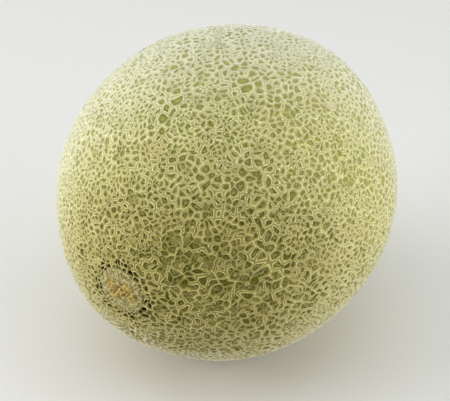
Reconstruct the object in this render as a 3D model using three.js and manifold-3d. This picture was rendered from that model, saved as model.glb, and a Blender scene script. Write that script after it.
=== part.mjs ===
// A netted cantaloupe melon, lying on the small flat ground spot under its side.
//
// Millimetres, +Z up. The origin is the middle of the ground spot. The long axis is level and runs
// along Y: the stem end, with its corky slip scar, faces -Y and the blossom end faces +Y.
//
// The fruit is one solid. A unit sphere is divided into irregular cells, and the sphere is drawn
// out into the melon's body. Each cell has a sunken floor, which is the skin, and the borders
// between cells stand up as the cords of the net. The net is larger than life, so that each cord
// keeps a real ridge.

import * as THREE from 'three';
import { ConvexHull } from 'three/addons/math/ConvexHull.js';
import { mergeVertices } from 'three/addons/utils/BufferGeometryUtils.js';
import Module from 'manifold-3d';

// ---- Driving dimensions, in millimetres -----------------------------------------------------------

const GIRTH_DIAMETER = 140;
const LENGTH = 159;

// The slow, shallow rise and fall of a grown surface. Each wave has a height, how fast it turns along
// X, Y and Z on the unit sphere, and the angle that it starts from.
const BODY_WAVES = [
  { height: 0.42, rate: new THREE.Vector3(1.2, -3.4, -0.4), start: 1.5 },
  { height: 0.42, rate: new THREE.Vector3(-4.7, -1.3, 4.5), start: 0.8 },
];

// The net's cords, measured between the floors of two cells and up from them.
const CORD_HEIGHT = 1.5;
const CORD_WIDTH = 2.6;
const SHORTEST_CORD = 2.2;
const NARROWEST_FLOOR = 1.0;

// Cords stand higher in some patches than in others, by this share. Two waves multiplied together
// make the patches.
const CORD_HEIGHT_SPREAD = 0.15;
const CORD_HEIGHT_WAVES = [
  { rate: new THREE.Vector3(11, 5, 0), start: 0 },
  { rate: new THREE.Vector3(0, 9, -7), start: 2 },
];

const GROUND_SPOT_DEPTH = 0.9;

// The dish round the stem, and the corky scars left by the stem and by the blossom.
const STEM_DISH_RADIUS = 13;
const STEM_DISH_DEPTH = 1.4;
const STEM_SCAR = { radius: 7.2, height: 1.5, sink: 1.0, lobes: 5, wave: 0.08, sides: 20 };
const BLOSSOM_SCAR = { radius: 3.6, height: 1.0, sink: 0.3, lobes: 3, wave: 0.05, sides: 12 };
const SCAR_ROOT = 4;

// Cells of the net: rings of small ones round each end, and the rest spread by a seeded draw.
const STEM_RINGS = [{ radius: 10.4, cells: 11 }, { radius: 16.4, cells: 14 }];
const BLOSSOM_RINGS = [{ radius: 6.6, cells: 6 }];
const FREE_CELLS = 670;
const CLOSEST_SITES = 7.0;
const EVENING_ROUNDS = 2;
const DRAW_SEED = 20406;

// ---- Dimensions that follow from them -------------------------------------------------------------

const SKIN_RADIUS = GIRTH_DIAMETER / 2 - CORD_HEIGHT;
const SKIN_HALF_LENGTH = LENGTH / 2 - CORD_HEIGHT;
const STEM_END = new THREE.Vector3(0, -1, 0);
const BLOSSOM_END = new THREE.Vector3(0, 1, 0);

// ---- The melon's body -----------------------------------------------------------------------------

// The rise of one wave, from -1 to 1, in a direction of the unit sphere.
function waveIn(direction, { rate, start }) {
  return Math.sin(rate.dot(direction) + start);
}

// How far the body's waves lift the surface in a direction.
function bodyWave(direction) {
  return BODY_WAVES.reduce((sum, wave) => sum + wave.height * waveIn(direction, wave), 0);
}

// How far the surface sinks in the shallow dish round the stem.
function stemDish(direction) {
  const offAxis = SKIN_RADIUS * direction.angleTo(STEM_END);
  return STEM_DISH_DEPTH * Math.exp(-((offAxis / STEM_DISH_RADIUS) ** 2));
}

// The point of the body that lies in a direction of the unit sphere, raised above the skin.
function surfacePoint(direction, height) {
  const { x, y, z } = direction;
  const skin = new THREE.Vector3(x * SKIN_RADIUS, y * SKIN_HALF_LENGTH, z * SKIN_RADIUS);
  const outward = new THREE.Vector3(x / SKIN_RADIUS, y / SKIN_HALF_LENGTH, z / SKIN_RADIUS);
  outward.normalize();
  return skin.addScaledVector(outward, height + bodyWave(direction) - stemDish(direction));
}

function cordHeight(direction) {
  const patch = CORD_HEIGHT_WAVES.reduce((product, wave) => product * waveIn(direction, wave), 1);
  return CORD_HEIGHT * (1 + CORD_HEIGHT_SPREAD * patch);
}

// ---- Sites, one for each cell ---------------------------------------------------------------------

// A repeatable stream of numbers from 0 to 1 (the mulberry32 generator).
function seededDraw(seed) {
  let state = seed;
  return () => {
    state = (state + 0x6d2b79f5) | 0;
    let mixed = Math.imul(state ^ (state >>> 15), 1 | state);
    mixed = (mixed + Math.imul(mixed ^ (mixed >>> 7), 61 | mixed)) ^ mixed;
    return ((mixed ^ (mixed >>> 14)) >>> 0) / 2 ** 32;
  };
}

// Directions evenly spaced in a ring round one end of the melon.
function ringSites(end, { radius, cells }) {
  const tilt = radius / SKIN_RADIUS;
  return Array.from({ length: cells }, (_, i) => {
    const turn = (2 * Math.PI * i) / cells;
    const x = Math.sin(tilt) * Math.cos(turn);
    const z = Math.sin(tilt) * Math.sin(turn);
    return new THREE.Vector3(x, Math.cos(tilt) * end.y, z);
  });
}

// Sites that stay put: one under each scar, and the rings round it.
function fixedSites() {
  const stemSites = STEM_RINGS.flatMap((ring) => ringSites(STEM_END, ring));
  const blossomSites = BLOSSOM_RINGS.flatMap((ring) => ringSites(BLOSSOM_END, ring));
  return [STEM_END.clone(), BLOSSOM_END.clone(), ...stemSites, ...blossomSites];
}

function randomDirection(draw) {
  const y = 2 * draw() - 1;
  const turn = 2 * Math.PI * draw();
  const offAxis = Math.sqrt(1 - y * y);
  return new THREE.Vector3(offAxis * Math.cos(turn), y, offAxis * Math.sin(turn));
}

// Sites drawn at random outside the rings, none of them very close to another.
function freeSites(fixed) {
  const draw = seededDraw(DRAW_SEED);
  const stemReach = STEM_RINGS.at(-1).radius / SKIN_RADIUS;
  const blossomReach = BLOSSOM_RINGS.at(-1).radius / SKIN_RADIUS;
  const closest = CLOSEST_SITES / SKIN_RADIUS;
  const sites = [];
  while (sites.length < FREE_CELLS) {
    const site = randomDirection(draw);
    const outsideRings = site.angleTo(STEM_END) > stemReach && site.angleTo(BLOSSOM_END) > blossomReach;
    if (outsideRings && [...fixed, ...sites].every((other) => other.distanceTo(site) > closest)) {
      sites.push(site);
    }
  }
  return sites;
}

// ---- Cells, the areas nearest to each site ----------------------------------------------------------

// Two unit vectors square to a direction; the three make a right-handed set.
function tangents(direction) {
  const helper = new THREE.Vector3(0.3, 0.5, 0.8).cross(direction);
  const across = helper.normalize();
  const along = new THREE.Vector3().crossVectors(direction, across);
  return [across, along];
}

// The hull of the sites joins neighbours in triangles, and each triangle's outward normal points
// to the corner where three cells meet. A cell lists its corners anticlockwise, from outside.
function divideSphere(sites) {
  const siteNumber = new Map(sites.map((site, i) => [site, i]));
  const corners = [];
  const cells = sites.map(() => []);
  for (const face of new ConvexHull().setFromPoints(sites).faces) {
    let edge = face.edge;
    do {
      cells[siteNumber.get(edge.head().point)].push(corners.length);
      edge = edge.next;
    } while (edge !== face.edge);
    corners.push(face.normal.clone());
  }
  cells.forEach((cell, i) => {
    const [across, along] = tangents(sites[i]);
    const turn = (c) => Math.atan2(corners[c].dot(along), corners[c].dot(across));
    cell.sort((a, b) => turn(a) - turn(b));
  });
  return { corners, cells };
}

function middle(directions) {
  const sum = new THREE.Vector3();
  directions.forEach((direction) => sum.add(direction));
  return sum.normalize();
}

// The fixed sites, and the free ones after each has moved to the middle of its cell a few times.
function evenSites() {
  const fixed = fixedSites();
  let free = freeSites(fixed);
  for (let round = 0; round < EVENING_ROUNDS; round += 1) {
    const { corners, cells } = divideSphere([...fixed, ...free]);
    free = cells.slice(fixed.length).map((cell) => middle(cell.map((c) => corners[c])));
  }
  return [...fixed, ...free];
}

// Draws the two ends of every very short cord together into one corner.
function joinCloseCorners({ corners, cells }) {
  const joinedTo = corners.map((_, i) => i);
  const taken = new Set();
  for (const cell of cells) {
    cell.forEach((a, i) => {
      const b = cell[(i + 1) % cell.length];
      const tooClose = SKIN_RADIUS * corners[a].distanceTo(corners[b]) < SHORTEST_CORD;
      if (tooClose && !taken.has(a) && !taken.has(b)) {
        corners[a] = middle([corners[a], corners[b]]);
        joinedTo[b] = a;
        taken.add(a).add(b);
      }
    });
  }
  const joinedCells = cells.map((cell) => [...new Set(cell.map((c) => joinedTo[c]))]);
  return { corners, cells: joinedCells };
}

// ---- The netted skin ----------------------------------------------------------------------------------

// The corners of a cell's floor. Each lies on the way from a corner of the cell to its middle, half
// a cord in from the nearest side.
function floorDirections(cell, corners) {
  const centre = middle(cell.map((c) => corners[c]));
  const [across, along] = tangents(centre);
  const outline = cell.map((c) => {
    const reach = SKIN_RADIUS / corners[c].dot(centre);
    return new THREE.Vector2(corners[c].dot(across), corners[c].dot(along)).multiplyScalar(reach);
  });
  const sides = outline.map((start, i) => {
    const end = outline[(i + 1) % outline.length];
    const outward = new THREE.Vector2(end.y - start.y, start.x - end.x).normalize();
    return { outward, distance: outward.dot(start) };
  });
  return outline.map((corner) => {
    const way = corner.clone().normalize();
    const limits = sides
      .filter(({ outward }) => outward.dot(way) > 0)
      .map(({ outward, distance }) => {
        const inset = Math.max(distance - CORD_WIDTH / 2, Math.min(distance, NARROWEST_FLOOR));
        return inset / outward.dot(way);
      });
    const offset = way.multiplyScalar(Math.min(...limits) / SKIN_RADIUS);
    return centre.clone().addScaledVector(across, offset.x).addScaledVector(along, offset.y).normalize();
  });
}

// One closed skin: a flat floor in every cell, and two slopes up to the crest of each cord.
function nettedSkin() {
  const { corners, cells } = joinCloseCorners(divideSphere(evenSites()));
  const points = corners.map((corner) => surfacePoint(corner, cordHeight(corner)));
  const triangles = [];
  for (const cell of cells) {
    const floor = floorDirections(cell, corners);
    const firstFloor = points.length;
    points.push(...floor.map((direction) => surfacePoint(direction, 0)));
    cell.forEach((crest, i) => {
      const next = (i + 1) % cell.length;
      triangles.push(crest, cell[next], firstFloor + next);
      triangles.push(crest, firstFloor + next, firstFloor + i);
      if (i > 1) {
        triangles.push(firstFloor, firstFloor + i - 1, firstFloor + i);
      }
    });
  }
  return new THREE.BufferGeometry().setFromPoints(points).setIndex(triangles);
}

// ---- Scars and the ground spot ----------------------------------------------------------------------

// A round corky scar, rooted in one end of the melon. Its side is turned from the root up to a raised
// rim, and from there down to a sunken middle. Its outline waves in and out in lobes.
function scar(end, { radius, height, sink, lobes, wave, sides }) {
  const profile = [
    new THREE.Vector2(0, -SCAR_ROOT),
    new THREE.Vector2(0.9 * radius, -SCAR_ROOT),
    new THREE.Vector2(radius, 0.3 * height),
    new THREE.Vector2(0.82 * radius, height),
    new THREE.Vector2(0.5 * radius, height - 0.6 * sink),
    new THREE.Vector2(0, height - sink),
  ];
  const geometry = new THREE.LatheGeometry(profile, sides);
  const position = geometry.attributes.position;
  for (let i = 0; i < position.count; i += 1) {
    const turn = Math.atan2(position.getZ(i), position.getX(i));
    const spread = 1 + wave * Math.sin(lobes * turn);
    position.setX(i, position.getX(i) * spread);
    position.setZ(i, position.getZ(i) * spread);
  }
  if (end.y < 0) {
    geometry.rotateX(Math.PI);
  }
  const seat = surfacePoint(end, 0);
  return geometry.translate(seat.x, seat.y, seat.z);
}

// The block below the plane that the melon rests on.
function groundBlock() {
  const side = 2 * GIRTH_DIAMETER;
  const block = new THREE.BoxGeometry(side, side, side);
  return block.translate(0, 0, GROUND_SPOT_DEPTH - SKIN_RADIUS - side / 2);
}

// ---- Solids ---------------------------------------------------------------------------------------------

const wasm = await Module();
wasm.setup();

function solid(geometry) {
  const bare = geometry.clone();
  bare.deleteAttribute('normal');
  bare.deleteAttribute('uv');
  const merged = mergeVertices(bare);
  const mesh = new wasm.Mesh({
    numProp: 3,
    vertProperties: new Float32Array(merged.attributes.position.array),
    triVerts: new Uint32Array(merged.index.array),
  });
  return new wasm.Manifold(mesh);
}

function geometryOf(manifold) {
  const { vertProperties, triVerts } = manifold.getMesh();
  const geometry = new THREE.BufferGeometry();
  geometry.setAttribute('position', new THREE.BufferAttribute(vertProperties, 3));
  geometry.setIndex(new THREE.BufferAttribute(triVerts, 1));
  return geometry;
}

// Stands a geometry on the origin by the middle of its underside.
function standOnOrigin(geometry) {
  geometry.computeBoundingBox();
  const { min, max } = geometry.boundingBox;
  return geometry.translate(-(min.x + max.x) / 2, -(min.y + max.y) / 2, -min.z);
}

function melonGeometry() {
  const fruit = solid(nettedSkin())
    .add(solid(scar(STEM_END, STEM_SCAR)))
    .add(solid(scar(BLOSSOM_END, BLOSSOM_SCAR)))
    .subtract(solid(groundBlock()));
  const geometry = standOnOrigin(geometryOf(fruit));
  geometry.computeVertexNormals();
  return geometry;
}

// ---- The part ---------------------------------------------------------------------------------------------

const rind = new THREE.MeshStandardMaterial({ color: 0xb7b684, roughness: 0.75, metalness: 0 });
const melon = new THREE.Mesh(melonGeometry(), rind);
melon.name = 'melon';

const part = new THREE.Group();
part.add(melon);

export default part;
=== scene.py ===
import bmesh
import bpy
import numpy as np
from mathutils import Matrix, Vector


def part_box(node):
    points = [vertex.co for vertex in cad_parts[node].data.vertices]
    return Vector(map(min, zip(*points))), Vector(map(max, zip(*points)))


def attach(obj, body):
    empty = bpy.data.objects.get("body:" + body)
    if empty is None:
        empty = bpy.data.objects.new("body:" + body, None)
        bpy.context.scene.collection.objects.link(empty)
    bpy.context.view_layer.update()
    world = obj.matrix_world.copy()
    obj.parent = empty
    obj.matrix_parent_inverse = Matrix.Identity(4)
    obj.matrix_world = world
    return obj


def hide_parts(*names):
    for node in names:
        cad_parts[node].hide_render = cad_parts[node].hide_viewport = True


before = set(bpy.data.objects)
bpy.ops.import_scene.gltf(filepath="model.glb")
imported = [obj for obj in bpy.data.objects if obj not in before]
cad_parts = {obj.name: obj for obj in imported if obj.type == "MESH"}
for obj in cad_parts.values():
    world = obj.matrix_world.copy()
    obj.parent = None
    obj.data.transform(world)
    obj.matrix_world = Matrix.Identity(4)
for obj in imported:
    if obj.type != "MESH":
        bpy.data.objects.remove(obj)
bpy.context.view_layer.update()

# A netted cantaloupe melon: a fine corky net raised on a green skin, with the scar of the stem.
#
# The melon's body is a drawn-out sphere. Seeded sites on the unit sphere divide it into the cells
# of the net. Each cell is a tile of rings: the outermost ring runs along the middle of the cords
# round the cell, the next ones climb down the cords' side, and the last one lies on the skin at
# their foot, round a fan that meets in the middle of the cell. Tiles share the points of the cord
# between them, except where the cells' neighbours come out a little wrong and two tiles overlap.
# The rind is cut between cells into six pieces, one for each side of the melon.
#
# Metres, +Z up. The long axis is level, along Y, and the stem end faces -Y. Directions are points
# of the unit sphere round the melon's middle.

# ---- Sizes and shares ----------------------------------------------------------------------------

MM = 0.001

# Small enough to change no shape: it keeps a division from having nothing to divide by.
TINY = 1e-9

# Seeds, one for each thing that varies at random. Where it has several layers, they take the
# numbers that follow.
SITE_SEED = 7
CORD_SEED = 8
PATCH_SEED = 17
WIDTH_SEED = 27
HEIGHT_SEED = 28
SPLIT_SEED = 29
BEND_SEED = 37
SCAR_GRAIN_SEED = 47
SCAR_SWERVE_SEED = 49

# Smooth random waves are sums of this many sines, each of them slower or faster by a random share.
SINE_COUNT = 20
SINE_SPREAD = (0.6, 1.3)

# The body's own slow waves: height, how fast it turns along X, Y and Z on the unit sphere, and the
# angle that it starts from.
BODY_WAVES = [
    (0.42 * MM, (1.2, -3.4, -0.4), 1.5),
    (0.42 * MM, (-4.7, -1.3, 4.5), 0.8),
]
STEM_END = np.array([0.0, -1.0, 0.0])
BLOSSOM_END = np.array([0.0, 1.0, 0.0])
STEM_DISH_RADIUS = 13 * MM
STEM_DISH_DEPTH = 1.4 * MM

# Sides of the melon that differ from the rest. Each has a direction, and the cosines of the angles
# to it at which a change begins and is complete.
OPEN_SIDE = np.array([0.60, -0.795, 0.08])
OPEN_REACH = (0.54, 0.96)
COARSE_REACH = (0.78, 0.98)
# The hazed side: its paler, greyer colours are painted haze of light; its cords are also wider.
HAZED_SIDE = np.array([-0.60, 0.80, 0.0])
HAZED_REACH = (-0.57, 0.15)
# The shaded side: the darker skin and browner cork there are painted shade.
SHADED_SIDE = np.array([0.40, -0.86, -0.31])
SHADED_REACH = (0.2, 0.9)
# The shade-edged side: painted shade there is strongest at the cords' feet and on their sides.
SHADE_EDGED_SIDE = np.array([0.24, -0.91, 0.34])
SHADE_EDGED_REACH = (0.35, 0.9)

# The cells. Their width, relative to the usual, changes by one share towards the stem's end, by
# another where the net is coarse, and in patches, each a share and a wavelength.
SITE_COUNT = 8700
STEM_COARSENESS = -0.08
COARSENESS = 0.24
SIZE_PATCHES = [(0.03, 32 * MM), (0.05, 9 * MM)]
SMALLEST_CELL = 0.55
# How far sites are moved to the middles of their cells: first all, then those off the open side.
EVENNESS = 0.85
CLOSED_SIDE_EVENNESS = 0.8

# Rings of cells round the two ends: radius and number of cells. The innermost ring of each lies
# under the end's scar. The next ones round the stem have sunk pits for floors, painted dark as shade.
STEM_RINGS = [(9.2 * MM, 26), (11.3 * MM, 30), (13.4 * MM, 33)]
BLOSSOM_RINGS = [(2.6 * MM, 8), (5.2 * MM, 14)]
RING_MARGIN = 1.0 * MM
# How uneven the rings are: an angle and a share of the radius, each with its waves in one turn.
RING_DRIFT = (0.12, 5)
RING_WOBBLE = (0.03, 4)
PIT_RADIUS = 12.1 * MM
PIT_HALF_WIDTH = 2.0 * MM
PIT_DEPTH = 0.8 * MM
PIT_SHARE = 0.9
PIT_THINNING = 0.3

# The cords. They are cut into steps, and bend sideways by a reach, in waves of some length.
LONGEST_STEP = 1.2 * MM
MOST_STEPS = 3
BENDS = [(0.55 * MM, 7 * MM), (0.14 * MM, 3.0 * MM)]
# Main cords run round groups of cells and minor cords inside them. How open a group is goes by a
# random draw, over a range of it, and weakens the minor cords by up to some share.
GROUP_COUNT = 2600
OPEN_RANGE = (0.6, 1.0)
MAIN_STRENGTH = (0.9, 1.0)
MINOR_STRENGTH = (0.5, 0.85)
OPEN_WEAKNESS = 0.6
# The share of chances taken to leave out a cord and make one opening of two cells, on most of the
# melon and where the net is coarse; and the steps that such a cord is cut into all the same.
PAIR_SHARE = (0.03, 0.9)
PAIR_STEPS = 3

# A cord's half width. The weakest has the thinnest share of it; how fast it thins with its strength
# differs between most of the melon and the open side. It varies in waves, and from step to step.
CORD_HALF_WIDTH = 0.75 * MM
THINNEST_CORD = 0.3
THINNING = (0.8, 3.0)
WIDTH_WAVES = (0.25, 9 * MM)
WIDTH_JITTER = 0.2
WIDTH_RANGE = (0.6, 1.5)
HAZED_SIDE_WIDENING = 0.15
# The most that a cord may take up of the way from a cell's nearest side to its middle.
WIDEST_CORDS = 0.85

# A cord's height, as shares of the net's height.
NET_HEIGHT = 0.5 * MM
MEAN_HEIGHT = 0.8
HEIGHT_WAVES = (0.2, 12 * MM)
HEIGHT_JITTER = (0.75, 1.15)
HEIGHT_RANGE = (0.35, 1.2)
# Strong cords are split along the crest where waves of this length rise past these levels.
SPLIT_WAVELENGTH = 7 * MM
SPLIT_LEVELS = (-0.5, 0.1)
SPLIT_STRENGTHS = (0.6, 0.85)

# What the colours go by: the strengths at which a cord begins to be cork and is all cork, and those
# over which it grows pale; the skin's tone; and how dark the painted shade at a cord's foot is at least.
CORKY_STRENGTHS = (0.05, 0.45)
PALE_STRENGTHS = (0.4, 0.9)
LEAST_PALENESS = 0.45
MEAN_TONE = 0.75
OPEN_TONE = -0.7
TONE_JITTER = 0.35
LEAST_FOOT_SHADE = 0.4

# Each ring of a tile: how much of the surface there is cork; and its inset, height and paleness, as
# shares of the cord's half width, height and paleness, first on a whole cord and then on one that
# is split along its crest.
# The paleness that falls from a cord's crest down its sides is partly the cork's own colour and partly
# painted shade on the sides.
RINGS = [
    (1.0, (0.00, 1.00, 1.00), (0.00, 0.30, 0.00)),
    (1.0, (0.30, 0.93, 0.42), (0.68, 1.00, 1.00)),
    (1.0, (0.72, 0.66, 0.24), (0.92, 0.76, 0.40)),
    (0.9, (1.02, 0.34, 0.14), (1.15, 0.34, 0.14)),
    (0.0, (1.30, 0.00, 0.00), (1.36, 0.00, 0.00)),
]
# How high the middle of a cell stands, as a share of the net's height.
PILLOW = 0.12
# A higher number keeps the rings' corners sharper.
CORNER_SHARPNESS = 28
# A ring stays at least this far from the middle of its cell. A side has no hold on it where it
# faces the side by no more than this cosine.
LEAST_ROOM = 0.02 * MM
LEAST_COSINE = 1e-3

# Each scar: its radius, how far its plate stands out from the skin, how many ridges run outward
# in it, and its knobs. A knob is across and up from the middle, how high and how wide.
SCARS = {
    "stem_scar": (
        10.9 * MM,
        0.55 * MM,
        36,
        [
            (-4.2 * MM, 2.0 * MM, 1.0 * MM, 2.4 * MM),
            (-3.2 * MM, -2.2 * MM, 0.8 * MM, 2.2 * MM),
            (0.3 * MM, -0.4 * MM, 0.6 * MM, 2.2 * MM),
            (3.6 * MM, 2.8 * MM, 1.2 * MM, 2.7 * MM),
            (5.6 * MM, -1.0 * MM, 0.7 * MM, 2.2 * MM),
        ],
    ),
    "blossom_scar": (
        4.6 * MM,
        0.35 * MM,
        14,
        [
            (-0.5 * MM, 0.3 * MM, 0.6 * MM, 1.3 * MM),
            (0.9 * MM, -0.4 * MM, 0.4 * MM, 0.9 * MM),
        ],
    ),
}
# A scar's mesh: how far apart its rings are, and how many points each has for every ring.
SCAR_STEP = 0.2 * MM
TURNS_PER_RING = 3
# The knobs' height from which the surface is all knob.
FULL_KNOB = 0.6 * MM
# A scar's grain, and how its ridges swerve: layers of waves, each a share and a wavelength.
SCAR_GRAIN = [(1.0, 2.2 * MM), (0.6, 1.1 * MM)]
SCAR_SWERVE = [(1.5, 9 * MM), (0.6, 3 * MM)]
SCAR_ROUGHNESS = 0.16 * MM
SCAR_RIDGE = 0.10 * MM
# Shares of the radius over which the ridges rise and the rim sinks under the skin.
RIDGE_RANGE = (0.4, 0.7)
RIM_RANGE = (0.93, 1.0)
# How the ridges and the grain share in the value that the scar's colours go by.
RIDGE_TINT = 0.24
GRAIN_TINT = 0.26

# ---- The body ------------------------------------------------------------------------------------

low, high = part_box("melon")
SKIN_RADIUS = (high.x - low.x) / 2 - NET_HEIGHT
SKIN_HALF_LENGTH = (high.y - low.y) / 2 + STEM_DISH_DEPTH / 2 - NET_HEIGHT
CENTRE = np.array([0.0, 0.0, high.z - SKIN_RADIUS - NET_HEIGHT])


def unit(vectors):
    return vectors / np.linalg.norm(vectors, axis=-1, keepdims=True)


def blend(share, start, end):
    return start + (end - start) * share


def smooth_step(values, start, end):
    share = np.clip((values - start) / (end - start), 0, 1)
    return share * share * (3 - 2 * share)


def on_side(directions, side, reach):
    """How far directions lie on one side of the melon, from 0 to 1."""
    return smooth_step(directions @ side, *reach)


def off_axis(directions, end):
    """How far directions lie from one end of the long axis, along a sphere of the skin's radius."""
    return SKIN_RADIUS * np.arccos(np.clip(directions @ end, -1, 1))


def tangents(directions):
    """Two unit vectors square to each direction, the second a quarter turn from the first."""
    slanting = [0.3, 0.5, 0.8]
    across = unit(np.cross(slanting, directions))
    return across, np.cross(directions, across)


def waves(directions, wavelength, seed):
    """Smooth random values, mostly from -1.5 to 1.5, with bumps a wavelength apart on the melon."""
    draw = np.random.default_rng(seed)
    turns = unit(draw.normal(size=(SINE_COUNT, 3))) * (2 * np.pi * SKIN_RADIUS / wavelength)
    turns *= draw.uniform(*SINE_SPREAD, size=(SINE_COUNT, 1))
    phases = draw.uniform(0, 2 * np.pi, size=SINE_COUNT)
    return np.sin(directions @ turns.T + phases).sum(axis=1) / np.sqrt(SINE_COUNT)


def layered_waves(directions, layers, seed):
    """The sum of several layers of waves, each a share and a wavelength."""
    return sum(
        share * waves(directions, wavelength, seed + index)
        for index, (share, wavelength) in enumerate(layers)
    )


def body_points(directions, heights):
    """Points of the melon in some directions, raised by heights above the skin."""
    half_sizes = np.array([SKIN_RADIUS, SKIN_HALF_LENGTH, SKIN_RADIUS])
    outward = unit(directions / half_sizes)
    wave = sum(height * np.sin(directions @ np.array(rate) + start) for height, rate, start in BODY_WAVES)
    dish = STEM_DISH_DEPTH * np.exp(-((off_axis(directions, STEM_END) / STEM_DISH_RADIUS) ** 2))
    points = CENTRE + directions * half_sizes + outward * (heights + wave - dish)[:, None]
    points[:, 2] = np.maximum(points[:, 2], 0.0)
    return points


def bend(directions):
    """Moves directions sideways a little, in smooth waves, so that no cord runs quite straight."""
    bent = directions
    for index, (reach, wavelength) in enumerate(BENDS):
        seeds = BEND_SEED + 3 * index + np.arange(3)
        shift = np.stack([waves(directions, wavelength, seed) for seed in seeds], axis=1)
        bent = bent + shift * reach / SKIN_RADIUS
    return unit(bent)


def around(end, radius, angles):
    """Directions at some radius from one end of the long axis, at angles round it."""
    up = np.array([0.0, 0.0, 1.0])
    across = np.cross(up, end)
    tilt = (radius / SKIN_RADIUS)[:, None]
    outward = np.cos(angles)[:, None] * across + np.sin(angles)[:, None] * up
    return np.cos(tilt) * end + np.sin(tilt) * outward


# ---- Sites and cells -----------------------------------------------------------------------------


def cell_size(directions):
    """The width of the net's cells, relative to the usual."""
    size = 1 + STEM_COARSENESS * (directions @ STEM_END)
    size += COARSENESS * on_side(directions, OPEN_SIDE, COARSE_REACH)
    size += layered_waves(directions, SIZE_PATCHES, PATCH_SEED)
    return np.maximum(size, SMALLEST_CELL)


def ring_sites(end, rings):
    """Sites in uneven rings round one end, with every second ring turned by half a site."""
    sites = []
    drift, drift_waves = RING_DRIFT
    wobble, wobble_waves = RING_WOBBLE
    for index, (radius, count) in enumerate(rings):
        angles = 2 * np.pi * (np.arange(count) + 0.5 * (index % 2)) / count
        angles += drift * np.sin(drift_waves * angles + index)
        uneven = 1 + wobble * np.sin(wobble_waves * angles + 2 * index)
        sites.append(around(end, radius * uneven, angles))
    return np.concatenate(sites)


def hull_triangles(sites):
    """Triangles that join neighbouring sites, seen from outside anticlockwise.

    The hull isn't quite exact: it joins some neighbours across the wrong diagonal, and leaves out a
    few sites.
    """
    hull = bmesh.new()
    for site in sites:
        hull.verts.new(site)
    hull.verts.index_update()
    bmesh.ops.convex_hull(hull, input=hull.verts)
    triangles = np.array([[vertex.index for vertex in face.verts] for face in hull.faces])
    hull.free()
    return triangles


def cell_corners(sites, triangles):
    """The direction at the same distance from a triangle's three sites, where three cells meet."""
    a, b, c = (sites[triangles[:, k]] for k in range(3))
    return unit(np.cross(b - a, c - a))


def evened(sites, ring_count, share):
    """The sites moved some share of the way to the middles of their cells; those in the rings stay."""
    triangles = hull_triangles(sites)
    corners = cell_corners(sites, triangles)
    sums = np.zeros_like(sites)
    for k in range(3):
        np.add.at(sums, triangles[:, k], corners)
    moved = unit(sites * (1 - share) + unit(sums + TINY) * share)
    moved[:ring_count] = sites[:ring_count]
    return moved[np.unique(triangles)]


def net_sites():
    """Directions of the cells: rings round the ends, and a random draw that is then evened out."""
    draw = np.random.default_rng(SITE_SEED)
    rings = np.concatenate([ring_sites(STEM_END, STEM_RINGS), ring_sites(BLOSSOM_END, BLOSSOM_RINGS)])
    sites = np.empty((0, 3))
    while len(sites) < SITE_COUNT:
        drawn = unit(draw.normal(size=(SITE_COUNT, 3)))
        kept = draw.random(SITE_COUNT) < (SMALLEST_CELL / cell_size(drawn)) ** 2
        kept &= off_axis(drawn, STEM_END) > STEM_RINGS[-1][0] + RING_MARGIN
        kept &= off_axis(drawn, BLOSSOM_END) > BLOSSOM_RINGS[-1][0] + RING_MARGIN
        sites = np.concatenate([sites, drawn[kept]])
    sites = np.concatenate([rings, sites[:SITE_COUNT]])
    sites = evened(sites, len(rings), EVENNESS)
    closed_side = 1 - on_side(sites, OPEN_SIDE, OPEN_REACH)
    return evened(sites, len(rings), CLOSED_SIDE_EVENNESS * closed_side[:, None])


def places_in_runs(counts):
    """For runs of some lengths set end to end: each entry's run, and its place in that run."""
    run = np.repeat(np.arange(len(counts)), counts)
    return run, np.arange(len(run)) - (np.cumsum(counts) - counts)[run]


def next_in_loops(counts):
    """For loops of some lengths set end to end: the entry that follows each one round its loop."""
    loop, place = places_in_runs(counts)
    return np.arange(len(loop)) - place + (place + 1) % counts[loop]


class Cells:
    """The cells of the net, as one long list of sides that runs anticlockwise round each cell."""

    def __init__(self, sites, draw):
        triangles = hull_triangles(sites)
        self.corners = cell_corners(sites, triangles)
        self.count = len(sites)
        cell = triangles.ravel()
        corner = np.repeat(np.arange(len(triangles)), 3)
        across, along = tangents(sites)
        direction = self.corners[corner]
        turn = np.arctan2((direction * along[cell]).sum(1), (direction * across[cell]).sum(1))
        order = np.lexsort((turn, cell))
        self.cell = cell[order]
        self.start = corner[order]
        self.side_counts = np.bincount(self.cell, minlength=self.count)
        self.end = self.start[next_in_loops(self.side_counts)]
        self.centre = self.find_centres()

        # Each cell belongs to the nearest group. An open group has weak cords inside.
        middles = unit(draw.normal(size=(GROUP_COUNT, 3)))
        self.group = (self.centre @ middles.T).argmax(axis=1)
        self.open = smooth_step(draw.random(GROUP_COUNT), *OPEN_RANGE)[self.group]

    def find_centres(self):
        """The middle of each cell's corners. A cell without any gets no faces, and any centre does."""
        sums = np.zeros((self.count, 3))
        np.add.at(sums, self.cell, self.corners[self.start])
        sums[self.side_counts == 0] = STEM_END
        return unit(sums)


# ---- The rind's tiles ----------------------------------------------------------------------------


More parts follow.
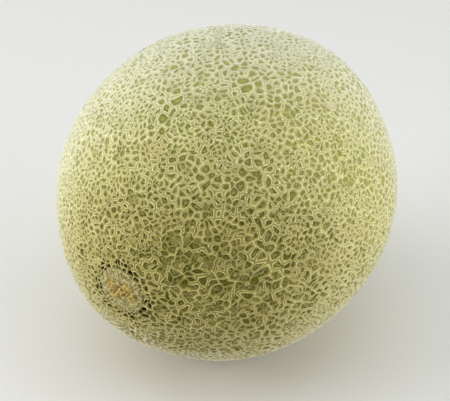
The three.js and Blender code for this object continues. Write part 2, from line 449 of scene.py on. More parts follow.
class Outline:
    """The cords' middle lines cut into short steps, shared by the cells on their two sides."""

    def __init__(self, cells, draw):
        corner_count = len(cells.corners)
        low_end = np.minimum(cells.start, cells.end)
        high_end = np.maximum(cells.start, cells.end)
        keys, self.cord = np.unique(low_end * corner_count + high_end, return_inverse=True)
        self.cord_count = len(keys)
        self.ends = (keys // corner_count, keys % corner_count)
        self.missing = self.choose_missing(cells, draw)
        self.place_points(cells)
        self.find_strength(cells, draw)
        self.walk_round_cells(cells)

    def choose_missing(self, cells, draw):
        """Cords that are left out, so that two cells make one long opening, but never three."""
        rank = draw.random(self.cord_count)
        lowest = np.ones(cells.count)
        np.minimum.at(lowest, cells.cell, rank[self.cord])
        times_lowest = np.zeros(self.cord_count, dtype=int)
        np.add.at(times_lowest, self.cord, rank[self.cord] == lowest[cells.cell])
        middle = np.zeros((self.cord_count, 3))
        middle[self.cord] = unit(cells.corners[cells.start] + cells.corners[cells.end])
        chance = blend(on_side(middle, OPEN_SIDE, COARSE_REACH), *PAIR_SHARE)
        return (times_lowest == 2) & (draw.random(self.cord_count) < chance)

    def place_points(self, cells):
        """Points of the outline: first the corners, then those between the ends of each cord."""
        a, b = (cells.corners[end] for end in self.ends)
        length = SKIN_RADIUS * np.linalg.norm(b - a, axis=1)
        self.steps = np.clip(np.ceil(length / LONGEST_STEP).astype(int), 1, MOST_STEPS)
        self.steps[self.missing] = PAIR_STEPS
        between = self.steps - 1
        self.first_between = len(cells.corners) + np.cumsum(between) - between
        self.cord_between, place = places_in_runs(between)
        share = ((place + 1) / self.steps[self.cord_between])[:, None]
        a, b = a[self.cord_between], b[self.cord_between]
        self.directions = np.concatenate([cells.corners, unit(a * (1 - share) + b * share)])

    def find_strength(self, cells, draw):
        """Main cords run in wide loops round the groups of cells, and minor cords divide the groups."""
        group = cells.group[cells.cell]
        lowest = np.full(self.cord_count, GROUP_COUNT)
        highest = np.zeros(self.cord_count, dtype=int)
        np.minimum.at(lowest, self.cord, group)
        np.maximum.at(highest, self.cord, group)
        openness = np.zeros(self.cord_count)
        openness[self.cord] = cells.open[cells.cell]
        minor = draw.uniform(*MINOR_STRENGTH, self.cord_count) * (1 - OPEN_WEAKNESS * openness)
        main = draw.uniform(*MAIN_STRENGTH, self.cord_count)
        strength = np.where(lowest != highest, main, minor)
        strength[self.missing] = 0
        at_corner = np.zeros(len(cells.corners))
        for end in self.ends:
            np.maximum.at(at_corner, end, strength)
        self.strength = np.concatenate([at_corner, strength[self.cord_between]])

    def walk_round_cells(self, cells):
        """The points in order round each cell, one for each step, and the step that follows it."""
        side_steps = self.steps[self.cord]
        side, place = places_in_runs(side_steps)
        forward = (cells.start < cells.end)[side]
        along_cord = np.where(forward, place - 1, side_steps[side] - 1 - place)
        between = self.first_between[self.cord[side]] + along_cord
        self.point = np.where(place == 0, cells.start[side], between)
        self.cell = cells.cell[side]
        self.following = next_in_loops(np.bincount(self.cell, minlength=cells.count))


class FlatCells:
    """Each cell laid flat about its middle: the normals and distances of its sides, in padded rows."""

    def __init__(self, cells):
        self.middle = cells.centre
        self.across, self.along = tangents(cells.centre)
        start = self.lay_flat(cells.corners[cells.start], cells.cell)
        end = self.lay_flat(cells.corners[cells.end], cells.cell)
        side = end - start
        normal = np.stack([side[:, 1], -side[:, 0]], axis=1)
        normal = normal / np.maximum(np.linalg.norm(normal, axis=1, keepdims=True), TINY)
        _, place = places_in_runs(cells.side_counts)
        size = (cells.count, cells.side_counts.max())
        self.normals = np.zeros((*size, 2))
        self.normals[cells.cell, place] = normal
        self.distances = np.ones(size)
        self.distances[cells.cell, place] = (normal * start).sum(1)
        is_side = np.any(self.normals != 0, axis=2)
        self.nearest = np.where(is_side, self.distances, np.inf).min(axis=1)

    def lay_flat(self, directions, cell):
        """Places on the flat cells that directions point at."""
        directions = directions / (directions * self.middle[cell]).sum(1)[:, None]
        x = (directions * self.across[cell]).sum(1)
        y = (directions * self.along[cell]).sum(1)
        return np.stack([x, y], axis=1) * SKIN_RADIUS

    def directions(self, places, cell):
        """Directions of places on the flat cells."""
        x, y = places[:, :1] / SKIN_RADIUS, places[:, 1:] / SKIN_RADIUS
        return unit(self.middle[cell] + self.across[cell] * x + self.along[cell] * y)

    def reach(self, ways, cell, inset):
        """How far a way from the middle runs until it is an inset short of the nearest side."""
        cosines = np.einsum("bi,bji->bj", ways, self.normals[cell])
        room = np.maximum(self.distances[cell] - inset[:, None], LEAST_ROOM)
        nearness = np.where(cosines > LEAST_COSINE, cosines / room, 0.0)
        return (nearness**CORNER_SHARPNESS).sum(axis=1) ** (-1 / CORNER_SHARPNESS)


def choose_pits(cells, draw):
    """How far each cell's floor is one of the sunk pits round the stem's scar, painted dark as shade."""
    from_ring = off_axis(cells.centre, STEM_END) - PIT_RADIUS
    return np.exp(-((from_ring / PIT_HALF_WIDTH) ** 4)) * (draw.random(cells.count) < PIT_SHARE)


def cord_half_widths(outline, pit, draw):
    """The half width of the cord at each step of the outline."""
    directions = outline.directions[outline.point]
    share, wavelength = WIDTH_WAVES
    thickness = 1 + share * waves(directions, wavelength, WIDTH_SEED)
    thickness += draw.uniform(-WIDTH_JITTER, WIDTH_JITTER, len(directions))
    thinning = blend(on_side(directions, OPEN_SIDE, OPEN_REACH), *THINNING)
    full_share = blend(outline.strength[outline.point] ** thinning, THINNEST_CORD, 1.0)
    half_width = CORD_HALF_WIDTH * np.clip(thickness, *WIDTH_RANGE) * full_share
    half_width *= 1 - PIT_THINNING * pit[outline.cell]
    return half_width * (1 + HAZED_SIDE_WIDENING * on_side(directions, HAZED_SIDE, HAZED_REACH))


def skin_tones(cells, draw):
    """The tone of the skin in each cell, lower and so a deeper green in the open groups."""
    jitter = draw.uniform(-TONE_JITTER, TONE_JITTER, cells.count)
    return np.clip(MEAN_TONE + OPEN_TONE * cells.open + jitter, 0, 1)


def cord_heights(outline, draw):
    """The height of the cord at each point of the outline."""
    share, wavelength = HEIGHT_WAVES
    height = MEAN_HEIGHT + share * waves(outline.directions, wavelength, HEIGHT_SEED)
    height *= draw.uniform(*HEIGHT_JITTER, len(height))
    return NET_HEIGHT * np.clip(height, *HEIGHT_RANGE) * outline.strength


def split_shares(outline):
    """How far the cord is split along its crest at each point of the outline."""
    split = smooth_step(waves(outline.directions, SPLIT_WAVELENGTH, SPLIT_SEED), *SPLIT_LEVELS)
    return split * smooth_step(outline.strength, *SPLIT_STRENGTHS)


def ring_form(ring, split):
    """A ring's inset, height and paleness where the cord is split by some share."""
    _, whole, parted = ring
    return tuple(whole[k] * (1 - split) + parted[k] * split for k in range(3))


class Rind:
    """Points, faces and surface values of the whole rind.

    The points come in blocks: first the outline's, then for each inner ring one point for each step
    of the outline, and last the middles of the cells.
    """

    def __init__(self, cells, outline, draw):
        flat_cells = FlatCells(cells)
        owner, point = outline.cell, outline.point
        ways = unit(flat_cells.lay_flat(outline.directions[point], owner))
        pit = choose_pits(cells, draw)
        half_width = cord_half_widths(outline, pit, draw)
        _, _, (widest_inset, _, _) = RINGS[-1]
        room = WIDEST_CORDS * flat_cells.nearest[owner]
        half_width *= np.minimum(1.0, room / (widest_inset * half_width))
        tone = skin_tones(cells, draw)
        height = cord_heights(outline, draw)
        split = split_shares(outline)
        corky = smooth_step(outline.strength, *CORKY_STRENGTHS)
        paleness = blend(smooth_step(outline.strength, *PALE_STRENGTHS), LEAST_PALENESS, 1.0)

        self.blocks = {}
        self.count = 0
        _, rise, ring_paleness = ring_form(RINGS[0], split)
        shared_tone = np.bincount(point, tone[owner]) / np.bincount(point)
        self.add_points(
            outline.directions,
            height * rise,
            {"cork": corky, "pit": 0.0, "tone": shared_tone, "pale": paleness * ring_paleness, "foot_shade": 0.0},
        )
        ring_points = [point]
        for ring in RINGS[1:]:
            cork_share = ring[0]
            inset, rise, ring_paleness = ring_form(ring, split[point])
            reach = flat_cells.reach(ways, owner, inset * half_width)
            sunk = pit[owner] * (1 - cork_share)
            # The last ring, at the cord's foot, carries the painted shade there.
            numbers = self.add_points(
                flat_cells.directions(ways * reach[:, None], owner),
                height[point] * rise - sunk * PIT_DEPTH,
                {
                    "cork": cork_share * corky[point],
                    "pit": sunk,
                    "tone": tone[owner],
                    "pale": paleness[point] * ring_paleness,
                    "foot_shade": corky[point] * (ring is RINGS[-1]),
                },
            )
            ring_points.append(numbers)
        middles = self.add_points(
            cells.centre,
            PILLOW * NET_HEIGHT - pit * PIT_DEPTH,
            {"cork": 0.0, "pit": pit, "tone": tone, "pale": 0.0, "foot_shade": 0.0},
        )

        blocks = {name: np.concatenate(parts) for name, parts in self.blocks.items()}
        self.directions = bend(blocks.pop("directions"))
        self.points = body_points(self.directions, blocks.pop("heights"))
        self.values = blocks
        # Painted haze of light on the hazed side.
        self.values["painted_haze"] = on_side(self.directions, HAZED_SIDE, HAZED_REACH)
        # Painted shade on the shaded side.
        self.values["shaded_side"] = on_side(self.directions, SHADED_SIDE, SHADED_REACH)
        # Painted shade at the feet and sides of the cords on the shade-edged side.
        self.values["shade_edged"] = on_side(self.directions, SHADE_EDGED_SIDE, SHADE_EDGED_REACH)
        # The painted shade at the cords' feet is strongest on the shade-edged side.
        self.values["foot_shade"] *= blend(self.values["shade_edged"], LEAST_FOOT_SHADE, 1.0)

        following = outline.following
        quads = [
            np.stack([outer, outer[following], inner[following], inner], axis=1)
            for outer, inner in zip(ring_points, ring_points[1:])
        ]
        self.quads = np.concatenate(quads)
        self.quad_cell = np.tile(owner, len(quads))
        innermost = ring_points[-1]
        self.triangles = np.stack([innermost, innermost[following], middles[owner]], axis=1)
        self.triangle_cell = owner
        self.normals = self.find_normals()

    def add_points(self, directions, heights, values):
        """Adds a block of points, with a value for each or one for all, and returns their numbers."""
        count = len(directions)
        for name, value in {"directions": directions, "heights": heights, **values}.items():
            column = value if np.ndim(value) else np.full(count, value)
            self.blocks.setdefault(name, []).append(column)
        self.count += count
        return np.arange(self.count - count, self.count)

    def find_normals(self):
        """The mean normal at each point, or its direction where it has no faces."""
        sums = np.zeros_like(self.points)
        for faces in (self.quads, self.triangles):
            p = self.points[faces]
            normal = np.cross(p[:, 2] - p[:, 0], p[:, -1] - p[:, 1])
            for k in range(faces.shape[1]):
                np.add.at(sums, faces[:, k], normal)
        faceless = ~sums.any(axis=1)
        sums[faceless] = self.directions[faceless]
        return unit(sums)


# ---- Pieces --------------------------------------------------------------------------------------

# Each side of the melon: the axis that it faces along, and which way.
SIDES = {
    "rind_left": (0, -1),
    "rind_right": (0, 1),
    "rind_stem_end": (1, -1),
    "rind_blossom_end": (1, 1),
    "rind_underside": (2, -1),
    "rind_top": (2, 1),
}
# A quarter turn of a side, and a scar's radius, as shares of the flat layout's width.
SIDE_UV_SHARE = 0.92
SCAR_UV_SHARE = 0.48


def side_uv(directions, axis):
    """A flat layout of one side of the melon, spread evenly by angle."""
    a, b = [k for k in range(3) if k != axis]
    ahead = np.abs(directions[:, axis])
    angles = np.arctan2(directions[:, [a, b]], ahead[:, None])
    return 0.5 + SIDE_UV_SHARE * angles / (np.pi / 2)


def add_values(mesh, values):
    for name, numbers in values.items():
        layer = mesh.attributes.new(name, "FLOAT", "POINT")
        layer.data.foreach_set("value", numbers.astype(np.float32))


def add_piece(name, points, faces, normals, values, uv, material):
    mesh = bpy.data.meshes.new(name)
    mesh.from_pydata(points, [], faces)
    add_values(mesh, values)
    mesh.shade_smooth()
    if normals is not None:
        mesh.normals_split_custom_set_from_vertices(normals)
    corner_points = np.empty(len(mesh.loops), dtype=np.int32)
    mesh.loops.foreach_get("vertex_index", corner_points)
    layer = mesh.uv_layers.new(name="OFBake")
    layer.data.foreach_set("uv", uv[corner_points].astype(np.float32).ravel())
    mesh.materials.append(material)
    piece = bpy.data.objects.new(name, mesh)
    bpy.context.scene.collection.objects.link(piece)
    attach(piece, "root")
    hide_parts("melon")


def clear_of_scar(directions, end, rings):
    """Which directions lie outside the innermost ring of cells, that the end's scar covers."""
    return off_axis(directions, end) > (rings[0][0] + rings[1][0]) / 2


def add_rind(rind, cells, material):
    """One piece for each side of the melon, cut between cells, and open under the scars."""
    kept = clear_of_scar(cells.centre, STEM_END, STEM_RINGS)
    kept &= clear_of_scar(cells.centre, BLOSSOM_END, BLOSSOM_RINGS)
    facing = np.abs(cells.centre).argmax(axis=1)
    sign = np.sign(cells.centre[np.arange(cells.count), facing])
    for name, (axis, way) in SIDES.items():
        here = (facing == axis) & (sign == way) & kept
        quads = rind.quads[here[rind.quad_cell]]
        triangles = rind.triangles[here[rind.triangle_cell]]
        used = np.unique(np.concatenate([quads.ravel(), triangles.ravel()]))
        number = np.full(len(rind.points), -1)
        number[used] = np.arange(len(used))
        faces = number[quads].tolist() + number[triangles].tolist()
        values = {key: value[used] for key, value in rind.values.items()}
        uv = side_uv(rind.directions[used], axis)
        add_piece(name, rind.points[used], faces, rind.normals[used], values, uv, material)


def disc_faces(ring_count, turn_count):
    """Faces of a disc: a fan of triangles round point 0, and rings of four-sided faces outside it."""
    ring = 1 + np.arange(turn_count)
    following = np.roll(ring, -1)
    faces = np.stack([np.zeros(turn_count, dtype=int), ring, following], axis=1).tolist()
    for inner in turn_count * np.arange(ring_count - 1):
        outer = inner + turn_count
        quads = [ring + inner, ring + outer, following + outer, following + inner]
        faces += np.stack(quads, axis=1).tolist()
    return faces


def add_scar(name, end, material):
    """A corky plate on one end of the melon, with knobs in its middle and ridges towards its rim."""
    radius, plate, ridge_count, knobs = SCARS[name]
    ring_count = round(radius / SCAR_STEP)
    turn_count = TURNS_PER_RING * ring_count
    rings = np.repeat(np.arange(ring_count), turn_count)
    turns = np.tile(np.arange(turn_count), ring_count)
    reach = np.append(0.0, radius * (rings + 1) / ring_count)
    angle = np.append(0.0, 2 * np.pi * turns / turn_count)
    directions = around(end, reach, angle)
    across, up = reach * np.cos(angle), reach * np.sin(angle)

    knob_height = np.zeros(len(reach))
    for knob_across, knob_up, height, width in knobs:
        away = (across - knob_across) ** 2 + (up - knob_up) ** 2
        knob_height += height * np.exp(-away / width**2)
    knob = np.minimum(knob_height / FULL_KNOB, 1.0)
    grain = layered_waves(directions, SCAR_GRAIN, SCAR_GRAIN_SEED)
    swerve = layered_waves(directions, SCAR_SWERVE, SCAR_SWERVE_SEED)
    ridges = np.sin(ridge_count * angle + swerve) * smooth_step(reach / radius, *RIDGE_RANGE)
    heights = plate + knob_height + SCAR_RIDGE * ridges
    heights += SCAR_ROUGHNESS * grain * (0.5 + knob)
    heights -= (plate + NET_HEIGHT) * smooth_step(reach / radius, *RIM_RANGE)

    values = {"knob": knob, "ridge": 0.5 + RIDGE_TINT * ridges + GRAIN_TINT * grain}
    uv = 0.5 + SCAR_UV_SHARE * np.stack([across, up], axis=1) / radius
    points = body_points(directions, heights)
    add_piece(name, points, disc_faces(ring_count, turn_count), None, values, uv, material)


# ---- Materials -----------------------------------------------------------------------------------

# A colour mix node names its sockets alike for every kind of value; these are the colour ones.
MIX_FIRST = 6
MIX_SECOND = 7
MIX_RESULT = 2
# How far a web's lines waver and how fast, relative to its cells, and the solid share of a line.
WEB_WOBBLE = 0.8
WEB_CORE = 0.4


class Nodes:
    """A material's node tree, with short calls to add to it. Scales are in features to a metre."""

    def __init__(self, name):
        self.material = bpy.data.materials.new(name)
        self.material.use_nodes = True
        self.tree = self.material.node_tree
        self.shader = self.tree.nodes["Principled BSDF"]

    def put(self, socket, value):
        if isinstance(value, bpy.types.NodeSocket):
            self.tree.links.new(value, socket)
        else:
            socket.default_value = value

    def put_all(self, node, inputs):
        for key, value in inputs.items():
            self.put(node.inputs[key.replace("_", " ")], value)

    def add(self, kind, settings=None, **inputs):
        node = self.tree.nodes.new(kind)
        for key, value in (settings or {}).items():
            setattr(node, key, value)
        self.put_all(node, inputs)
        return node

    def shade(self, **inputs):
        self.put_all(self.shader, inputs)

    def attribute(self, name):
        return self.add("ShaderNodeAttribute", {"attribute_name": name}).outputs["Fac"]

    def place(self):
        return self.add("ShaderNodeTexCoord").outputs["Object"]

    def noise(self, scale, detail=2.0, roughness=0.5):
        inputs = {"Vector": self.place(), "Scale": scale, "Detail": detail, "Roughness": roughness}
        return self.add("ShaderNodeTexNoise", **inputs).outputs["Fac"]

    def web(self, scale, width):
        """Thin wavering lines that run round small cells."""
        place = self.place()
        wobble = self.add("ShaderNodeTexNoise", Vector=place, Scale=scale * WEB_WOBBLE, Detail=1.0)
        shifted = self.add("ShaderNodeVectorMath", {"operation": "MULTIPLY_ADD"})
        self.put(shifted.inputs[0], wobble.outputs["Color"])
        self.put(shifted.inputs[1], (WEB_WOBBLE / scale,) * 3)
        self.put(shifted.inputs[2], place)
        edges = {"feature": "DISTANCE_TO_EDGE"}
        cells = self.add("ShaderNodeTexVoronoi", edges, Vector=shifted.outputs["Vector"], Scale=scale)
        return self.range(cells.outputs["Distance"], WEB_CORE * width, width, at_start=1.0, at_end=0.0)

    def range(self, value, start, end, at_start=0.0, at_end=1.0):
        """A value that runs evenly between two others while the given one runs from start to end."""
        node = self.add("ShaderNodeMapRange", {"clamp": True}, Value=value)
        self.put_all(node, {"From Min": start, "From Max": end, "To Min": at_start, "To Max": at_end})
        return node.outputs["Result"]

    def math(self, operation, a, b):
        node = self.add("ShaderNodeMath", {"operation": operation})
        self.put(node.inputs[0], a)
        self.put(node.inputs[1], b)
        return node.outputs["Value"]

    def times(self, a, b):
        return self.math("MULTIPLY", a, b)

    def ramp(self, value, stops):
        node = self.add("ShaderNodeValToRGB", Fac=value)
        elements = node.color_ramp.elements
        while len(elements) < len(stops):
            elements.new(1.0)
        for element, (position, colour) in zip(elements, stops):
            element.position = position
            element.color = (*colour, 1.0)
        return node.outputs["Color"]

    def mix(self, share, a, b):
        node = self.add("ShaderNodeMix", {"data_type": "RGBA"}, Factor=share)
        for socket, colour in ((MIX_FIRST, a), (MIX_SECOND, b)):
            is_link = isinstance(colour, bpy.types.NodeSocket)
            self.put(node.inputs[socket], colour if is_link else (*colour, 1.0))
        return node.outputs[MIX_RESULT]

    def bump(self, strength, distance, height):
        node = self.add("ShaderNodeBump", Strength=strength, Distance=distance, Height=height)
        return node.outputs["Normal"]


# The skin's colours by its tone, and what lies over it.
SKIN_RAMP = [
    (0.0, (0.28, 0.36, 0.030)),
    (0.35, (0.34, 0.39, 0.042)),
    (0.7, (0.38, 0.39, 0.055)),
    (1.0, (0.45, 0.43, 0.09)),
]
SKIN_PATCH = (0.30, 0.285, 0.035)
# Painted haze of light: paler, greyer skin on the hazed side.
HAZED_SKIN = (0.50, 0.51, 0.18)
# Painted shade: dark skin on the shaded side.
SHADED_SKIN = (0.075, 0.08, 0.006)
SKIN_THREAD = (0.42, 0.38, 0.13)
# Painted shade in the crease at the cords' feet.
FOOT_SHADE = (0.035, 0.030, 0.003)
# Painted shade: the near-black floors of the pits round the stem.
PIT_SHADE = (0.02, 0.025, 0.008)

# The cords' colours by their paleness: the usual ones, those of the hazed side, paler as painted haze
# of light, and those of the side both shaded and shade-edged, as painted shade; and what lies over them.
# From dull sides to pale crest: the darker sides are partly painted shade.
CORK_RAMP = [
    (0.0, (0.30, 0.26, 0.06)),
    (0.3, (0.48, 0.44, 0.125)),
    (0.6, (0.71, 0.68, 0.26)),
    (1.0, (0.96, 0.94, 0.60)),
]
# Painted haze of light: paler, greyer cork on the hazed side.
HAZED_CORK_RAMP = [
    (0.0, (0.52, 0.51, 0.355)),
    (0.3, (0.60, 0.587, 0.412)),
    (0.6, (0.68, 0.665, 0.47)),
    (1.0, (0.84, 0.822, 0.615)),
]
# Painted shade: darker, browner cork where the side is both shaded and shade-edged.
SHADE_EDGED_CORK_RAMP = [
    (0.0, (0.20, 0.170, 0.028)),
    (0.45, (0.30, 0.245, 0.055)),
    (0.75, (0.52, 0.46, 0.14)),
    (1.0, (0.90, 0.84, 0.40)),
]
CORK_VEIN = (0.90, 0.88, 0.52)
CORK_CRACK = (0.17, 0.13, 0.03)
CORK_SPECKLE = (0.26, 0.21, 0.06)
BROWNER_CORK = (0.50, 0.40, 0.16)
CORK_FIBRE = (0.38, 0.30, 0.09)
# Painted shade: browner cork on the shaded side.
SHADED_CORK = (0.41, 0.335, 0.11)

# A scar's colours from the bottoms of its ridges and grain to their tops, on the plate and on the
# knobs, and what lies over them. The dark bottoms are partly the scar's own streaks, partly painted shade.
PLATE_RAMP = [
    (0.0, (0.17, 0.14, 0.05)),
    (0.3, (0.33, 0.29, 0.11)),
    (0.6, (0.48, 0.43, 0.185)),
    (1.0, (0.66, 0.61, 0.33)),
]
GOLDEN_RAMP = [
    (0.0, (0.13, 0.08, 0.015)),
    (0.3, (0.35, 0.24, 0.05)),
    (0.6, (0.52, 0.38, 0.10)),
    (1.0, (0.68, 0.54, 0.22)),
]
SCAR_CRACK = (0.14, 0.10, 0.03)
SCAR_SPECKLE = (0.26, 0.19, 0.07)


def skin_colour(nodes, painted_haze, shaded_side):
    """Green skin in patches, with fine threads over it, under painted haze of light and painted shade."""
    skin = nodes.ramp(nodes.attribute("tone"), SKIN_RAMP)
    patches = nodes.noise(scale=45.0, detail=3.0)
    skin = nodes.mix(nodes.range(patches, 0.4, 0.65, at_end=0.7), skin, SKIN_PATCH)
    # Painted haze of light: paler skin on the hazed side.
    skin = nodes.mix(nodes.times(painted_haze, 0.7), skin, HAZED_SKIN)
    # Painted shade: darker skin on the shaded side.
    skin = nodes.mix(nodes.range(shaded_side, 0.0, 0.6, at_end=0.85), skin, SHADED_SKIN)
    threads = nodes.web(scale=760.0, width=0.24)
    thread_patches = nodes.range(nodes.noise(scale=180.0), 0.35, 0.55)
    skin = nodes.mix(nodes.times(threads, thread_patches), skin, SKIN_THREAD)
    # Painted shade in the crease at the cords' feet.
    skin = nodes.mix(nodes.times(nodes.attribute("foot_shade"), 0.7), skin, FOOT_SHADE)
    # Painted shade: the pits' floors are near black.
    return nodes.mix(nodes.range(nodes.attribute("pit"), 0.2, 0.8), skin, PIT_SHADE)


def cork_colour(nodes, painted_haze, shaded_side):
    """Straw-coloured cork with pale veins, cracks, specks and brown patches, with painted haze and painted
    shade by side.
    """
    pale = nodes.attribute("pale")
    cork = nodes.ramp(pale, CORK_RAMP)
    veins = nodes.web(scale=680.0, width=0.20)
    cork = nodes.mix(nodes.times(veins, 0.35), cork, CORK_VEIN)
    cracks = nodes.web(scale=900.0, width=0.10)
    cork = nodes.mix(nodes.times(cracks, 0.5), cork, CORK_CRACK)
    speckle = nodes.noise(scale=1900.0, roughness=0.6)
    cork = nodes.mix(nodes.range(speckle, 0.48, 0.58, at_end=0.3), cork, CORK_SPECKLE)
    browner = nodes.noise(scale=70.0, detail=4.0)
    cork = nodes.mix(nodes.range(browner, 0.55, 0.75, at_end=0.5), cork, BROWNER_CORK)
    fibres = nodes.noise(scale=850.0, detail=1.0)
    cork = nodes.mix(nodes.range(fibres, 0.45, 0.7, at_end=0.35), cork, CORK_FIBRE)
    # Painted haze of light: paler, greyer cork on the hazed side.
    cork = nodes.mix(nodes.times(painted_haze, 0.75), cork, nodes.ramp(pale, HAZED_CORK_RAMP))
    # Painted shade: browner cork on the shaded side.
    cork = nodes.mix(nodes.times(shaded_side, 0.35), cork, SHADED_CORK)
    # Painted shade: darker cork where the side is both shaded and shade-edged.
    shade_edged = nodes.times(shaded_side, nodes.attribute("shade_edged"))
    return nodes.mix(nodes.times(shade_edged, 0.9), cork, nodes.ramp(pale, SHADE_EDGED_CORK_RAMP))


def rind_material():
    nodes = Nodes("rind")
    painted_haze = nodes.attribute("painted_haze")
    shaded_side = nodes.attribute("shaded_side")
    skin = skin_colour(nodes, painted_haze, shaded_side)
    cork = cork_colour(nodes, painted_haze, shaded_side)
    cork_share = nodes.range(nodes.attribute("cork"), 0.25, 0.6)
    grain = nodes.noise(scale=2500.0, detail=3.0)
    nodes.shade(
        Base_Color=nodes.mix(cork_share, skin, cork),
        Roughness=nodes.range(cork_share, 0.0, 1.0, at_start=0.5, at_end=0.85),
        Specular_IOR_Level=nodes.range(cork_share, 0.0, 1.0, at_start=0.04, at_end=0.12),
        Sheen_Weight=nodes.range(cork_share, 0.0, 1.0),
        Sheen_Roughness=0.35,
        Normal=nodes.bump(strength=0.35, distance=0.2 * MM, height=grain),
    )
    return nodes.material


def scar_material():
    nodes = Nodes("scar")
    ridge = nodes.attribute("ridge")
    ragged = nodes.range(nodes.noise(scale=500.0, detail=3.0), 0.3, 0.7, at_start=-0.35, at_end=0.35)
    knob = nodes.range(nodes.math("ADD", nodes.attribute("knob"), ragged), 0.15, 0.8)
    # Darker at the bottoms of the ridges and grain: partly the scar's streaks, partly painted shade.
    colour = nodes.mix(knob, nodes.ramp(ridge, PLATE_RAMP), nodes.ramp(ridge, GOLDEN_RAMP))
    cracks = nodes.web(scale=850.0, width=0.12)
    colour = nodes.mix(nodes.times(cracks, 0.6), colour, SCAR_CRACK)
    speckle = nodes.noise(scale=1500.0, detail=3.0, roughness=0.6)
    colour = nodes.mix(nodes.range(speckle, 0.5, 0.75, at_end=0.6), colour, SCAR_SPECKLE)
    grain = nodes.noise(scale=1800.0, detail=4.0)
    nodes.shade(
        Base_Color=colour,
        Roughness=0.9,
        Specular_IOR_Level=0.2,
        Normal=nodes.bump(strength=0.5, distance=0.3 * MM, height=grain),
    )
    return nodes.material


# ---- Stage ---------------------------------------------------------------------------------------

# The picture is this many pixels wide, and shows a metre at the melon's middle as this many. The
# melon's middle stands some pixels right of the picture's middle and above it.
IMAGE_WIDTH = 450
PIXELS_PER_METRE = 2324
MELON_RIGHT = 2.7
MELON_UP = 10.0
SENSOR_WIDTH = 36.0
CAMERA_AZIMUTH = np.radians(33)
CAMERA_ELEVATION = np.radians(38)
CAMERA_DISTANCE = 0.65
CAMERA_CLIP_END = 20

# Each softbox: its way from the melon, as shares of the camera's right, of straight up and of the
# level way from the camera to the melon; then its power and its colour.
WHITE = (1.0, 1.0, 1.0)
COOL_WHITE = (0.88, 0.97, 1.0)
SOFTBOX_DISTANCE = 1.1
SOFTBOX_WIDTH = 1.2
SOFTBOXES = {
    "left": ((-1.0, 0.0, 0.0), 13.2, WHITE),
    "left_high": ((-1.0, 0.7, 0.1), 5.5, WHITE),
    "left_near": ((-1.0, 0.3, -0.6), 3.0, WHITE),
    "right": ((1.0, 0.0, 0.1), 10.0, WHITE),
    "right_high": ((1.0, 0.7, 0.1), 2.0, WHITE),
    "right_near": ((1.0, 0.3, -0.6), 6.2, WHITE),
    "above": ((0.0, 1.0, 0.0), 5.3, COOL_WHITE),
}

# The studio's strength behind the camera and beyond the melon, and the cosine where each is reached.
WORLD_COLOUR = (0.92, 0.98, 1.0, 1.0)
WORLD_NEAR = 0.05
WORLD_FAR = 0.3
WORLD_COSINE = 0.6

FLOOR_COLOUR = (0.76, 0.74, 0.71, 1)
FLOOR_ROUGHNESS = 0.8
FLOOR_REACH = 3.0


def add_camera():
    """The scene's camera. Returns its right, and the way back to it from the melon."""
    a, e = CAMERA_AZIMUTH, CAMERA_ELEVATION
    right = Vector((np.cos(a), np.sin(a), 0))
    back = Vector((np.sin(a) * np.cos(e), -np.cos(a) * np.cos(e), np.sin(e)))
    up = back.cross(right)
    data = bpy.data.cameras.new("camera")
    data.sensor_width = SENSOR_WIDTH
    data.lens = PIXELS_PER_METRE * CAMERA_DISTANCE * SENSOR_WIDTH / IMAGE_WIDTH
    data.clip_end = CAMERA_CLIP_END
    camera = bpy.data.objects.new("camera", data)
    aside = (right * MELON_RIGHT + up * MELON_UP) / PIXELS_PER_METRE
    place = Vector(CENTRE) + back * CAMERA_DISTANCE - aside
    turn = Matrix((right, up, back)).transposed()
    camera.matrix_world = Matrix.Translation(place) @ turn.to_4x4()
    bpy.context.scene.collection.objects.link(camera)
    bpy.context.scene.camera = camera
    return right, back


def add_softbox(name, way, power, colour):
    data = bpy.data.lights.new(name, "AREA")
    data.shape = "DISK"
    data.size = SOFTBOX_WIDTH
    data.energy = power
    data.color = colour
    light = bpy.data.objects.new(name, data)
    turn = way.to_track_quat("Z", "Y").to_matrix().to_4x4()
    light.matrix_world = Matrix.Translation(Vector(CENTRE) + way * SOFTBOX_DISTANCE) @ turn
    bpy.context.scene.collection.objects.link(light)


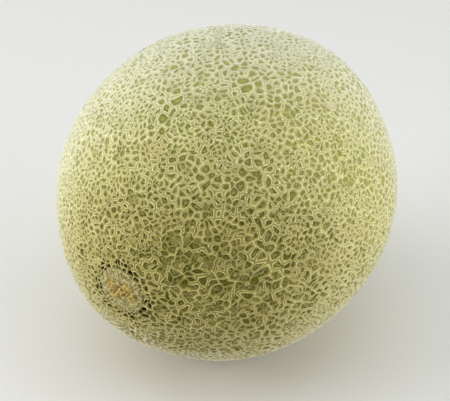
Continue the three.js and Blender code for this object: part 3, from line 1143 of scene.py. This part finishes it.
def add_floor():
    nodes = Nodes("floor")
    nodes.shade(Base_Color=FLOOR_COLOUR, Roughness=FLOOR_ROUGHNESS)
    mesh = bpy.data.meshes.new("floor")
    corners = [(x * FLOOR_REACH, y * FLOOR_REACH, 0) for x, y in ((-1, -1), (1, -1), (1, 1), (-1, 1))]
    mesh.from_pydata(corners, [], [(0, 1, 2, 3)])
    mesh.materials.append(nodes.material)
    floor = bpy.data.objects.new("floor", mesh)
    bpy.context.scene.collection.objects.link(floor)


def add_world(onward):
    """A white studio, dim on the camera's side of the melon and bright beyond it."""
    world = bpy.data.worlds.new("studio")
    world.use_nodes = True
    tree = world.node_tree
    place = tree.nodes.new("ShaderNodeTexCoord")
    facing = tree.nodes.new("ShaderNodeVectorMath")
    facing.operation = "DOT_PRODUCT"
    facing.inputs[1].default_value = onward
    tree.links.new(place.outputs["Generated"], facing.inputs[0])
    spread = tree.nodes.new("ShaderNodeMapRange")
    spread.interpolation_type = "SMOOTHSTEP"
    spread.inputs["From Min"].default_value = -WORLD_COSINE
    spread.inputs["From Max"].default_value = WORLD_COSINE
    spread.inputs["To Min"].default_value = WORLD_NEAR
    spread.inputs["To Max"].default_value = WORLD_FAR
    tree.links.new(facing.outputs["Value"], spread.inputs["Value"])
    background = tree.nodes["Background"]
    background.inputs["Color"].default_value = WORLD_COLOUR
    tree.links.new(spread.outputs["Result"], background.inputs["Strength"])
    bpy.context.scene.world = world


def add_stage(right, back):
    up = Vector((0, 0, 1))
    onward = -Vector((back.x, back.y, 0)).normalized()
    add_floor()
    add_world(onward)
    for name, (way, power, colour) in SOFTBOXES.items():
        sideways, upward, forward = way
        direction = (right * sideways + up * upward + onward * forward).normalized()
        add_softbox(name, direction, power, colour)
    bpy.context.scene.view_settings.view_transform = "Standard"


draw = np.random.default_rng(CORD_SEED)
cells = Cells(net_sites(), draw)
outline = Outline(cells, draw)
rind = Rind(cells, outline, draw)
add_rind(rind, cells, rind_material())
scar_surface = scar_material()
add_scar("stem_scar", STEM_END, scar_surface)
add_scar("blossom_scar", BLOSSOM_END, scar_surface)

right, back = add_camera()
add_stage(right, back)
